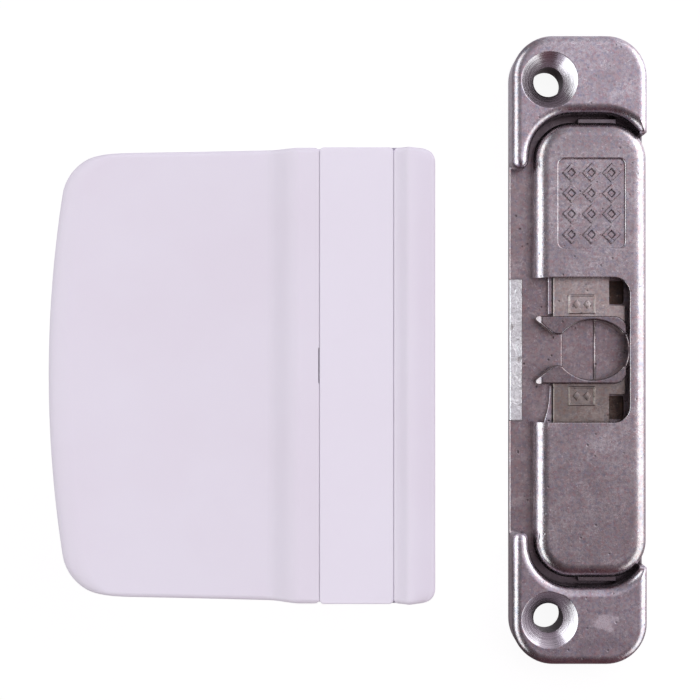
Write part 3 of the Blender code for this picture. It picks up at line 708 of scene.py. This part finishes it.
def make_base():
    x, y = (-CATCH_HALF_X, CATCH_HALF_X), (-CATCH_HALF_Y, CATCH_HALF_Y)
    outline = rounded_rectangle(x, y, CASTING_CORNER, 16)
    base = slab(outline, 0, FLOOR, top_round=0.3, low_round=0.25, steps=4)
    blocks = [
        slab(flipped(block_outline(), side), 0.8, CATCH_TOP, top_round=BLOCK_ROUND, steps=8, spacing=0.5)
        for side in (1, -1)
    ]
    join(base, *blocks)
    join(base, *base_ribs())
    cut(base, *base_cutters())
    place(base, "catch_casting", CATCH_CENTRE, "catch", ZINC, ["base_frame"])

    regions = (ZINC, CONE, BORE, STAINED, FLOOR_ZINC, WINDOW_SHADED_ZINC)
    for material in regions[1:]:
        base.data.materials.append(material)
    for face in base.data.polygons:
        face.material_index = regions.index(base_region(face))
    return base


def make_entry_strip():
    x = (STRIP_LOW.x - CATCH_CENTRE.x, STRIP_HIGH.x - CATCH_CENTRE.x)
    outline = rounded_rectangle(x, (STRIP_LOW.y, STRIP_HIGH.y), 0.15, 3)
    strip = slab(outline, STRIP_LOW.z, STRIP_HIGH.z, top_round=0.22, steps=4, spacing=1.0)
    return place(strip, "entry_strip_worn", CATCH_CENTRE, "catch", STRIP_ZINC, ["entry_strip"])


# ---- catch: housing
def lozenge_ring(x, y, half_x, half_y, line, low, high):
    """A raised lozenge with a sunk middle. line is the width of its rim, whose edges are bevelled."""
    inner_r = half_x * half_y / math.hypot(half_x, half_y)
    drop = 0.22
    bevel = drop * 0.7
    outer = (0, low), (0, high - drop), (bevel, high)
    inner = (line - bevel, high), (line, high - drop), (line, low)
    rings = []
    for inset, level in outer + inner:
        k = 1 - inset / inner_r
        corners = ((half_x, 0), (0, half_y), (-half_x, 0), (0, -half_y))
        rings.append([(x + k * a, y + k * b, level) for a, b in corners])
    bm = bmesh.new()
    skin(bm, rings, closed=True)
    return to_object(bm)


def panel_lozenges():
    """Raised lozenges that fill the sunk panel."""
    columns, rows, margin, space, line = 3, 4, 0.5, 0.1, 0.68
    pitch_x = (PANEL_X[1] - PANEL_X[0] - 2 * margin) / columns
    pitch_y = (PANEL_Y[1] - PANEL_Y[0] - 2 * margin) / rows
    low, high = CATCH_TOP - 0.8, CATCH_TOP - 0.02
    result = []
    for row in range(rows):
        for column in range(columns):
            x = PANEL_X[0] + margin + pitch_x * (column + 0.5)
            y = PANEL_Y[0] + margin + pitch_y * (row + 0.5)
            result.append(lozenge_ring(x, y, pitch_x / 2 - space, pitch_y / 2 - space, line, low, high))
    return result


def make_housing():
    low, wall = HOUSING_BOTTOM, HOUSING_WALL
    outline = rounded_rectangle((HOUSING_LEFT, CATCH_HALF_X), (-HOUSING_END, HOUSING_END), HOUSING_CORNER, 18)
    housing = slab(outline, low, CATCH_TOP, top_round=HOUSING_ROUND, steps=12, spacing=1.5)
    inside_x, inside_end = (HOUSING_LEFT + wall, CATCH_HALF_X - wall), HOUSING_END - wall
    hollow = rounded_rectangle(inside_x, (-inside_end, inside_end), HOUSING_CORNER - wall, 10)
    cut(housing, slab(hollow, low - 1, CATCH_TOP - ROOF, spacing=50))

    additions = []
    for side in (1, -1):
        for x, y, boss_r in RIVETS.values():
            additions.append(turned(((boss_r, low), (boss_r, CATCH_TOP - ROOF / 2)), (x, side * y), 32))
        tongue_y = mirrored((HOUSING_END - wall / 2, TONGUE_END), side)
        additions.append(box(TONGUE_X, tongue_y, (low, TONGUE_TOP), 0.15))
    join(housing, *additions)

    tools = []
    rivet_hole = ((RIVET_R + GAP, 0), (RIVET_R + GAP, RIVET_END + 0.2))
    for x, y, _ in RIVETS.values():
        tools += [turned(rivet_hole, (x, side * y), 32) for side in (1, -1)]

    def window(wider):
        half = WINDOW_HALF + wider
        x = (HOUSING_LEFT - 5, WINDOW_RIGHT + wider)
        return rounded_rectangle(x, (-half, half), WINDOW_CORNER + wider, 14)

    def panel(wider):
        x, y = ((span[0] - wider, span[1] + wider) for span in (PANEL_X, PANEL_Y))
        return rounded_rectangle(x, y, PANEL_CORNER + wider, 8)

    tools.append(flared_cutter(window, 0, CATCH_TOP, WINDOW_FLARE))
    tools.append(flared_cutter(panel, CATCH_TOP - PANEL_DEPTH, CATCH_TOP, PANEL_FLARE))
    cut(housing, *tools)
    join(housing, *panel_lozenges())
    nodes = ["housing_cover"]
    return place(housing, "housing_shell", CATCH_CENTRE, "catch", COVER_ZINC, nodes)


def make_rivets():
    profile = [(0.5, 0.05), (1.0, 0.07), (RIVET_HEAD_R, 0.16), (RIVET_R + 0.02, 0.64), (RIVET_R, 0.75)]
    profile += [(RIVET_R, RIVET_END - 0.1), (RIVET_R - 0.12, RIVET_END)]
    rivets = []
    for word, side in (("upper", 1), ("lower", -1)):
        for spot, (x, y, _) in RIVETS.items():
            name = f"{word}_{spot}_rivet"
            rivet = turned(profile, (x, side * y), 32)
            place(rivet, name + "_turned", CATCH_CENTRE, "catch", STEEL, [name])
            rivets.append(rivet)
    return rivets


# ---- catch: jaws
def pocket_arc():
    """The +Y jaw's share of the round pocket."""
    return arc((POCKET_X, -POCKET_OFFSET), POCKET_R, *POCKET_ARC, 28)


def crescent_outline():
    """The raised hook of the +Y jaw: nose, lead-in, pocket and rounded heel."""
    pocket = pocket_arc()
    nose = [(-6.45, JAW_OUTER_Y - 0.02), (-6.68, 5.3), (-6.8, 5.1), (-6.8, 4.93), (-6.72, 4.78)]
    lead_in = [(-5.58, 3.72), (-4.2, 2.68), (-3.87, 2.5), (-3.55, 2.45), (-3.1, 2.46), (-2.8, 2.53)]
    heel = arc((SHOULDER_X - HEEL_R, JAW_OUTER_Y - HEEL_R), HEEL_R, 0, 90, 10)
    return nose + lead_in + pocket + [(SHOULDER_X, pocket[-1][1])] + heel


def tail_outline():
    """The lower, flat part of the +Y jaw, from its pocket back to its spring seat."""
    pocket = pocket_arc()
    return [
        (TAIL_X[0], 2.66),
        (-3.1, 2.55),
        *[(x, y + 0.04) for x, y in pocket],
        (SHOULDER_X, pocket[-1][1] + 0.04),
        (SHOULDER_X, SHOULDER_Y),
        (TAIL_X[1], SHOULDER_Y),
        (TAIL_X[1], TAIL_END),
        (EAR_X, TAIL_END),
        (EAR_X, EAR_Y),
        (TAIL_X[0], EAR_Y),
    ]


def nose_wedge(side):
    """A cutter that lets the nose's top fall away, slowly at first and steeply at its tip."""
    above, beyond = JAW_TOP + 0.5, NOSE_SLOPE_X - 3.0
    slope = [
        (NOSE_SLOPE_X + 0.5, above),
        (NOSE_SLOPE_X, JAW_TOP),
        (NOSE_SLOPE_X - 0.35, JAW_TOP - 0.12),
        (NOSE_SLOPE_X - 0.6, JAW_TOP - 0.3),
        (beyond, JAW_TOP - 2.6),
        (beyond, above),
    ]
    rings = [[(x, y, z) for x, z in slope] for y in mirrored((2.0, 8.0), side)]
    bm = bmesh.new()
    skin(bm, rings)
    return to_object(bm)


def jaw_mark(side):
    """A small raised frame round two raised lozenges, on the jaw's flat part."""
    low, high = SHELF_TOP - MARK_RISE, SHELF_TOP + MARK_RISE
    y = mirrored(MARK_Y, side)
    frame_bars = (
        (MARK_X, (y[0], y[0] + MARK_LINE)),
        (MARK_X, (y[1] - MARK_LINE, y[1])),
        ((MARK_X[0], MARK_X[0] + MARK_LINE), y),
        ((MARK_X[1] - MARK_LINE, MARK_X[1]), y),
    )
    solids = [box(bar_x, bar_y, (low, high), 0.14) for bar_x, bar_y in frame_bars]
    mid_x, mid_y = (MARK_X[0] + MARK_X[1]) / 2, (y[0] + y[1]) / 2
    half_x, half_y = MARK_HALF
    for offset in (-MARK_PITCH, MARK_PITCH):
        x = mid_x + offset
        lozenge = [(x + half_x, mid_y), (x, mid_y + half_y), (x - half_x, mid_y), (x, mid_y - half_y)]
        solids.append(slab(lozenge, low, high, top_round=0.1, steps=2, spacing=5))
    return solids


def make_jaw(name, side):
    low = FLOOR + GAP
    jaw = slab(flipped(crescent_outline(), side), low, JAW_TOP, top_round=0.3, steps=5, spacing=0.3)
    under = box((-10, TAIL_X[0] - 0.02), mirrored((0, JAW_OUTER_Y + 3), side), (0, NOSE_BOTTOM))
    cut(jaw, under, nose_wedge(side))
    tail = slab(flipped(tail_outline(), side), low, SHELF_TOP, top_round=0.2, steps=3, spacing=0.6)
    keel_x = (GROOVE_X[0] + GAP, GROOVE_X[1] - GAP)
    keel = box(keel_x, mirrored((6.0, TAIL_END - 0.5), side), (GROOVE_FLOOR + GAP, low + 0.3))
    spigot = (
        (SPIGOT_R, TAIL_END - 0.5),
        (SPIGOT_R, TAIL_END + SPIGOT_LENGTH - 0.15),
        (SPIGOT_R - 0.15, TAIL_END + SPIGOT_LENGTH),
    )
    spigots = [turned(spigot, (x, SPRING_Z), 32, along_y=side) for x in SPRING_X]
    join(jaw, tail)
    join(jaw, keel, *spigots)
    join(jaw, *jaw_mark(side))
    # the lower jaw gets the darkened copy of the jaw zinc: painted shade
    zinc = UPPER_JAW_ZINC if side > 0 else LOWER_JAW_SHADED_ZINC
    place(jaw, name + "_hook", CATCH_CENTRE, name, zinc, [name])
    jaw.data.materials.append(JAW_POLISHED)
    for face in jaw.data.polygons:
        if face.center.z / MM > SHELF_TOP + 0.4:
            face.material_index = 1
    return jaw


# ---- catch: springs and pins
def coil_points(start, end, centre_x, side):
    """The centre line of a compression spring whose end turns lie closed."""
    coil_r = SPRING_OUTER_R - SPRING_WIRE_R
    length, per_turn = end - start, 28
    turns = (0, 1, SPRING_TURNS - 1, SPRING_TURNS)
    rises = (0, CLOSED_PITCH, length - CLOSED_PITCH, length)
    points = []
    for i in range(SPRING_TURNS * per_turn + 1):
        turn = i / per_turn
        y = side * (start + np.interp(turn, turns, rises))
        x, z = coil_r * math.cos(math.tau * turn), coil_r * math.sin(math.tau * turn)
        points.append((centre_x + x, y, SPRING_Z + z))
    return points


def make_spring(name, x, side):
    start = TAIL_END + GAP + SPRING_WIRE_R
    end = LUG_Y[0] - 2 * GAP - PIN_HEAD_LENGTH - SPRING_WIRE_R
    line = [Vector(p) for p in coil_points(start, end, x, side)]
    rings = []
    for i, point in enumerate(line):
        along = (line[min(i + 1, len(line) - 1)] - line[max(i - 1, 0)]).normalized()
        outward = Vector((point.x - x, 0, point.z - SPRING_Z)).normalized()
        across = along.cross(outward).normalized()
        ring = []
        for angle in np.linspace(0, math.tau, 10, endpoint=False):
            offset = outward * math.cos(angle) + across * math.sin(angle)
            ring.append(point + offset * SPRING_WIRE_R)
        rings.append(ring)
    bm = bmesh.new()
    skin(bm, rings)
    coil = to_object(bm)
    place(coil, name + "_coil", CATCH_CENTRE, "catch", STEEL, [name], weighted=False)
    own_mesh(coil)
    return coil


def make_guide_pin(name, x, side):
    seat, bevel = LUG_Y[0] - GAP, 0.1
    head = seat - PIN_HEAD_LENGTH
    profile = [
        (PIN_R - 0.15, PIN_TIP_Y),
        (PIN_R, PIN_TIP_Y + 0.15),
        (PIN_R, head),
        (PIN_HEAD_R - bevel, head),
        (PIN_HEAD_R, head + bevel),
        (PIN_HEAD_R, seat - bevel),
        (PIN_HEAD_R - bevel, seat),
        (PIN_R, seat),
        (PIN_R, LUG_Y[1] - bevel),
        (PIN_R - bevel, LUG_Y[1]),
    ]
    pin = turned(profile, (x, SPRING_Z), 40, along_y=side)
    return place(pin, name + "_turned", CATCH_CENTRE, "catch", STEEL, [name])


# ---- handle
def wing_outline_x(y):
    """Where the wing's free edge lies at a height y: a shallow bow with round corners."""
    bow_x = WING_TIP + WING_EDGE_R
    corner_y = HANDLE_HALF - WING_CORNER
    corner_x = bow_x - math.sqrt((WING_EDGE_R - WING_CORNER) ** 2 - corner_y**2)
    blend_y = corner_y * WING_EDGE_R / (WING_EDGE_R - WING_CORNER)
    if abs(y) < blend_y:
        return bow_x - math.sqrt(WING_EDGE_R**2 - y * y)
    return corner_x - math.sqrt(max(0.0, WING_CORNER**2 - (abs(y) - corner_y) ** 2))


def block_right_x(y):
    """The block's outer side at a height y, which turns in at both ends."""
    past = max(0.0, abs(y) - (HANDLE_HALF - BLOCK_CORNER))
    return BLOCK_RIGHT - BLOCK_CORNER + math.sqrt(max(0.0, BLOCK_CORNER**2 - past**2))


def wing_height(x):
    """The wing's upper face, a hollow curve that climbs towards the block."""
    t = x - (WING_TIP + ROLL_WIDTH)
    return WING_EDGE_Z + WING_SLOPE * t + WING_BOW * t * t


def smooth(t):
    t = min(1.0, max(0.0, t))
    return t * t * (3 - 2 * t)


def handle_profile(y):
    """The handle's closed outline in X and Z at a height y, with equally many points at each y."""
    tip, right = wing_outline_x(y), block_right_x(y)
    points = []
    for turn in np.radians(np.linspace(0, 90, 13)):  # the rolled free edge
        d = ROLL_WIDTH * (1 - math.cos(turn))
        points.append((tip + d, wing_height(tip + d) - ROLL_DROP * (1 - math.sin(turn))))
    for x in np.linspace(tip + ROLL_WIDTH, RAMP_START, 17)[1:]:
        points.append((x, wing_height(x)))
    for t in np.linspace(0, 1, 21)[1:]:  # the ramp up to the block
        x = RAMP_START + (RAMP_END - RAMP_START) * t
        base = wing_height(x)
        points.append((x, base + smooth(t) * (BLOCK_TOP - base)))
    hollow_x = REBATE_HALF + REBATE_LIP
    points += arc((-hollow_x, BLOCK_TOP - REBATE_LIP), REBATE_LIP, 90, 0, 4)
    points += [(-REBATE_HALF, REBATE_Z), (REBATE_HALF, REBATE_Z)]
    hollow_z = BLOCK_TOP + HOLLOW_STEP
    points += arc((hollow_x, hollow_z - REBATE_LIP), REBATE_LIP, 180, 90, 4)
    climb_x = RAIL_CREST_X - REBATE_HALF - REBATE_LIP
    climb_z = RAIL_CREST_Z - BLOCK_TOP - HOLLOW_STEP
    for t in np.linspace(0, 1, 11)[1:]:  # the hollow beside the rail, and the rail's crest
        points.append((hollow_x + climb_x * t, hollow_z + climb_z * smooth(t) ** 1.3))
    slope = right - RAIL_ROUND - RAIL_CREST_X
    for t in np.linspace(0, 1, 9)[1:]:  # the slope down to the outer side
        points.append((RAIL_CREST_X + slope * t, RAIL_CREST_Z - RAIL_FALL * t**1.5))
    rail_side = (right - RAIL_ROUND, RAIL_CREST_Z - (RAIL_FALL + RAIL_ROUND))
    points += arc(rail_side, RAIL_ROUND, 90, 0, 6)[1:]
    foot = FOOT_CHAMFER
    points += [(right, 12.0), (right, foot), (right - foot, 0.0)]
    points += [(0.0, 0.0), (BLOCK_LEFT + foot, 0.0), (BLOCK_LEFT, foot), (BLOCK_LEFT, 8.0)]
    fillet_x = BLOCK_LEFT - ROOT_FILLET
    for turn in np.radians(np.linspace(0, 90, 11)):  # the fillet under the wing's root
        x = fillet_x + ROOT_FILLET * math.cos(turn)
        points.append((x, wing_height(x) - WING_THICK - ROOT_FILLET * (1 - math.sin(turn))))
    for x in np.linspace(fillet_x, tip + ROLL_WIDTH, 15)[1:]:
        points.append((x, wing_height(x) - WING_THICK))
    under = wing_height(tip + ROLL_WIDTH) - WING_THICK
    edge_top = points[0][1]
    edge_low = wing_height(tip) - WING_THICK - EDGE_HANG
    for t in np.linspace(0, 1, 7)[1:]:  # the underside's turn down to the free edge
        x = tip + ROLL_WIDTH + (EDGE_LIP - ROLL_WIDTH) * t
        points.append((x, under + (edge_low - EDGE_DROP - under) * smooth(t)))
    for turn in np.radians((30, 60, 90)):
        points.append((tip + EDGE_LIP * (1 - math.sin(turn)), edge_low - EDGE_DROP * math.cos(turn)))
    points.append((tip, (edge_low + edge_top) / 2))
    return points


def handle_levels():
    """Heights from the middle to one end, close together where its corner and its end turn."""
    corner_y = HANDLE_HALF - WING_CORNER
    levels = list(np.linspace(0, corner_y, 14)[:-1])
    levels += [corner_y + WING_CORNER * math.sin(a) for a in np.radians(np.linspace(0, 90, 25))]
    levels += [HANDLE_HALF - END_ROUND * (1 - math.sin(a)) for a in np.radians(np.linspace(0, 80, 9))]
    return sorted(set(round(v, 3) for v in levels))


def handle_rings():
    rings = []
    for y in handle_levels():
        profile = np.array(handle_profile(y), float)
        from_end = HANDLE_HALF - y
        if from_end < END_ROUND:
            depth = END_ROUND - math.sqrt(max(0.0, END_ROUND**2 - (END_ROUND - from_end) ** 2))
            if depth > 0.01:
                profile = inset_points(profile, depth)
        rings.append([(x, y, z) for x, z in profile])
    return [[(x, -y, z) for x, y, z in ring] for ring in reversed(rings[1:])] + rings


def make_handle():
    bm = bmesh.new()
    skin(bm, handle_rings())
    handle = to_object(bm)
    channel_y = (-CHANNEL_HALF_Y, CHANNEL_HALF_Y)
    tools = [box((-CHANNEL_HALF_X, CHANNEL_HALF_X), channel_y, (CHANNEL_FLOOR, 30), corner=0.5)]
    for x, top in CORES:
        for middle in CORE_MIDDLES:
            y = (middle - CORE_HALF_LENGTH, middle + CORE_HALF_LENGTH)
            tools.append(box(x, y, (-1, top), corner=0.5))
    for y in (HANDLE_SCREW_Y, -HANDLE_SCREW_Y):
        tools.append(countersink(0, y, HANDLE_HOLE_R, HANDLE_HEAD_R, CHANNEL_FLOOR))
    notch_x = (-REBATE_HALF - NOTCH_WIDTH, -REBATE_HALF + 0.3)
    tools.append(box(notch_x, NOTCH_Y, (BLOCK_TOP - 1.0, BLOCK_TOP + 1)))
    cut(handle, *tools)
    return place(handle, "handle_moulding", COVER_CENTRE, "handle", PLASTIC, ["handle_body"])


def make_screw_cover():
    half = (COVER_HIGH.x - COVER_LOW.x) / 2 + COVER_SPREAD
    low = REBATE_Z + GAP
    outline = rounded_rectangle((-half, half), (-HANDLE_HALF, HANDLE_HALF), 0.7, 6)
    cover = slab(outline, low, BLOCK_TOP, top_round=0.22, steps=4, spacing=2.0)
    clips = []
    for side in (1, -1):
        for middle in (CLIP_Y, -CLIP_Y):
            span = (middle - CLIP_HALF_LENGTH, middle + CLIP_HALF_LENGTH)
            clips.append(box(mirrored(CLIP_X, side), span, (CLIP_BOTTOM, low + 0.5), corner=0.3))
    join(cover, *clips)
    body = "screw_cover"
    return place(cover, "screw_cover_strip", COVER_CENTRE, body, LIT_COVER_PLASTIC, [body])


# ---- studio
CAMERA_X, CAMERA_Z, LENS = -0.48, 250.0, 78.85
LIGHT_DISTANCE = 0.6
COOL_LIGHT, WHITE_LIGHT = (0.89, 1.0, 0.96), (1, 1, 1)


def make_camera():
    data = bpy.data.cameras.new("camera")
    data.lens = LENS
    data.sensor_width = 36
    data.clip_start, data.clip_end = 0.01, 10
    camera = linked("camera", data)
    camera.location = (CAMERA_X * MM, 0, CAMERA_Z * MM)
    bpy.context.scene.camera = camera


def soft_box(name, elevation, azimuth, size, brightness, colour, pieces):
    """An even panel of light that faces the middle of the set and falls on these pieces only.

    Its angles are in degrees, and size is its width and its height.
    """
    rise, turn = math.radians(elevation), math.radians(azimuth)
    across = math.cos(rise)
    direction = Vector((across * math.cos(turn), across * math.sin(turn), math.sin(rise)))
    data = bpy.data.lights.new(name, "AREA")
    data.shape = "RECTANGLE"
    data.size, data.size_y = size
    data.energy = brightness * math.pi * size[0] * size[1]
    data.color = colour
    light = linked(name, data)
    light.location = direction * LIGHT_DISTANCE
    light.rotation_euler = (-direction).to_track_quat("-Z", "Y").to_euler()
    group = bpy.data.collections.new(name + "_pieces")
    for obj in pieces:
        group.objects.link(obj)
    light.light_linking.receiver_collection = group
    light.light_linking.blocker_collection = group


def make_dome():
    """A dim dome: brighter and cooler towards +Y, reddish low down at -Y, and brightest at the right."""
    world = bpy.context.scene.world or bpy.data.worlds.new("studio")
    bpy.context.scene.world = world
    world.use_nodes = True
    dome = Nodes(world.node_tree)
    split = dome.add("ShaderNodeSeparateXYZ", {0: dome.add("ShaderNodeTexCoord").outputs["Generated"]})
    x, y = split.outputs["X"], split.outputs["Y"]
    level = dome.span(y, -0.24, 0.22, 0.24, 0.78)
    for factor in (
        dome.span(x, -0.25, 0.0, 0.5, 1.0),
        dome.span(x, 0.0, 0.5, 1.0, 1.7),
        dome.span(y, -0.8, -0.2, 0.5, 1.0),
        dome.span(y, 0.3, 0.8, 1.0, 0.75),
    ):
        level = dome.math("MULTIPLY", level, factor)
    hue = dome.mix(dome.span(y, -0.2, 0.2), (1.0, 0.84, 0.92), (0.96, 0.91, 1.0))
    hue = dome.mix(dome.span(y, -0.5, -0.85), hue, (1.0, 0.5, 0.6))
    background = dome.tree.nodes["Background"]
    dome.tree.links.new(hue, background.inputs["Color"])
    dome.tree.links.new(level, background.inputs["Strength"])


def make_floor():
    """A light table, which no polished face mirrors."""
    bm = bmesh.new()
    bmesh.ops.create_grid(bm, x_segments=1, y_segments=1, size=5.0)
    mesh = bpy.data.meshes.new("floor")
    bm.to_mesh(mesh)
    bm.free()
    floor = linked("floor", mesh)
    floor.location.z = -0.02 * MM
    shade = Shading("light_table", (0.2, 0.2, 0.2), 0.9, 0.0)
    shade.shader.inputs["Emission Color"].default_value = (1, 1, 1, 1)
    shade.shader.inputs["Emission Strength"].default_value = 0.92
    mesh.materials.append(shade.material)
    floor.visible_glossy = False


def make_studio(catch_pieces, handle_pieces):
    """Lights each of the two pieces by itself, as when they lie on the table one at a time."""
    bpy.context.scene.view_settings.view_transform = "Standard"
    make_dome()
    make_floor()
    soft_box("left_box", 21, 180, (1.5, 0.44), 2.4, COOL_LIGHT, catch_pieces)
    soft_box("right_box", 13, 0, (1.5, 0.6), 1.95, COOL_LIGHT, catch_pieces)
    soft_box("top_box", 89, 0, (0.9, 0.9), 0.93, WHITE_LIGHT, handle_pieces)
    soft_box("side_fill", 30, 180, (1.5, 0.5), 0.86, WHITE_LIGHT, handle_pieces)


# ---- the whole set
make_camera()
catch = [make_base(), make_entry_strip(), make_housing(), *make_rivets()]
for word, side in (("upper", 1), ("lower", -1)):
    catch.append(make_jaw(word + "_jaw", side))
    for hand, spring_x in zip(("left", "right"), SPRING_X):
        catch.append(make_guide_pin(f"{word}_{hand}_guide_pin", spring_x, side))
        catch.append(make_spring(f"{word}_{hand}_spring", spring_x, side))
make_studio(catch, [make_handle(), make_screw_cover()])
